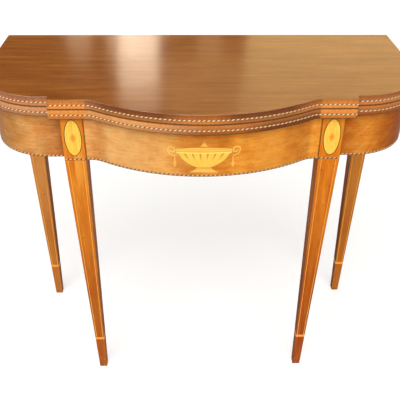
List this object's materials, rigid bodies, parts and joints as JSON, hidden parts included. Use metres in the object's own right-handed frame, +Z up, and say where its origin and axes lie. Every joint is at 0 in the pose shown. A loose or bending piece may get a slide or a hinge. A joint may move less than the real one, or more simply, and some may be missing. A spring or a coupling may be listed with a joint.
{
  "type": "demilune table",
  "caption": "Folding card table with a bowed front and rounded ends, inlaid apron and tapered legs; the top folds open onto swinging rear legs.",
  "frame": {"origin": "on the floor under the middle of the closed table's bounding box", "axes": "+X to the right along the back edge as seen from the front, +Y to the back, +Z up; the bowed front faces -Y"},
  "size_m": [0.882, 0.4314, 0.75],
  "materials": {
    "mahogany_board": "french polished mahogany",
    "mahogany_leg": "french polished mahogany",
    "mahogany_veneer": "french polished flame mahogany veneer",
    "secondary_wood": "bare planed pine",
    "hard_wood": "bare planed oak",
    "pattern_string": "light and dark patterned stringing, polished",
    "light_inlay": "satinwood, polished",
    "orange_inlay": "shaded satinwood, polished",
    "dark_inlay": "ebonised line, polished",
    "brass": "old brass",
    "iron": "dark forged iron"
  },
  "bodies": {
    "frame": {"block_screws": "iron", "front_left_leg": "mahogany_leg", "front_left_leg_apron_band": "pattern_string", "front_left_leg_cuff": "light_inlay", "front_left_leg_oval_border": "dark_inlay", "front_left_leg_oval_field": "light_inlay", "front_left_leg_stringing": "light_inlay", "front_rail": "secondary_wood", "front_rail_stringing": "pattern_string", "front_rail_veneer": "mahogany_veneer", "front_right_leg": "mahogany_leg", "front_right_leg_apron_band": "pattern_string", "front_right_leg_cuff": "light_inlay", "front_right_leg_oval_border": "dark_inlay", "front_right_leg_oval_field": "light_inlay", "front_right_leg_stringing": "light_inlay", "glue_blocks": "secondary_wood", "hinge_pins": "brass", "hinge_rail": "hard_wood", "hinge_rail_screws": "iron", "knuckle_pins": "iron", "left_end_rail": "secondary_wood", "left_end_stringing": "pattern_string", "left_end_veneer": "mahogany_veneer", "left_lower_hinge_plate": "brass", "left_urn_drop": "orange_inlay", "left_urn_handle": "orange_inlay", "lower_hinge_screws": "brass", "lower_leaf": "mahogany_board", "lower_leaf_stringing": "pattern_string", "medial_brace": "secondary_wood", "rear_rail": "secondary_wood", "right_end_rail": "secondary_wood", "right_end_stringing": "pattern_string", "right_end_veneer": "mahogany_veneer", "right_lower_hinge_plate": "brass", "right_urn_drop": "orange_inlay", "right_urn_handle": "orange_inlay", "urn_bowl": "light_inlay", "urn_finial": "orange_inlay", "urn_foot": "orange_inlay", "urn_lid": "orange_inlay", "urn_rim": "orange_inlay"},
    "folding_leaf": {"left_upper_hinge_plate": "brass", "right_upper_hinge_plate": "brass", "upper_hinge_screws": "brass", "upper_leaf": "mahogany_board", "upper_leaf_stringing": "pattern_string"},
    "left_fly": {"left_fly_rail": "hard_wood", "rear_left_leg": "mahogany_leg", "rear_left_leg_cuff": "light_inlay", "rear_left_leg_stringing": "light_inlay"},
    "right_fly": {"rear_right_leg": "mahogany_leg", "rear_right_leg_cuff": "light_inlay", "rear_right_leg_stringing": "light_inlay", "right_fly_rail": "hard_wood"}
  },
  "joints": [
    {"name": "leaf_fold", "type": "hinge", "parent": "frame", "child": "folding_leaf", "pos_m": [0, 0.21147, 0.72985], "axis": [-1, 0, 0], "range_deg": [0, 180]},
    {"name": "left_fly_swing", "type": "hinge", "parent": "frame", "child": "left_fly", "pos_m": [-0.092, 0.15902, 0.66], "axis": [0, 0, -1], "range_deg": [0, 90]},
    {"name": "right_fly_swing", "type": "hinge", "parent": "frame", "child": "right_fly", "pos_m": [0.092, 0.15902, 0.66], "axis": [0, 0, 1], "range_deg": [0, 90]}
  ]
}
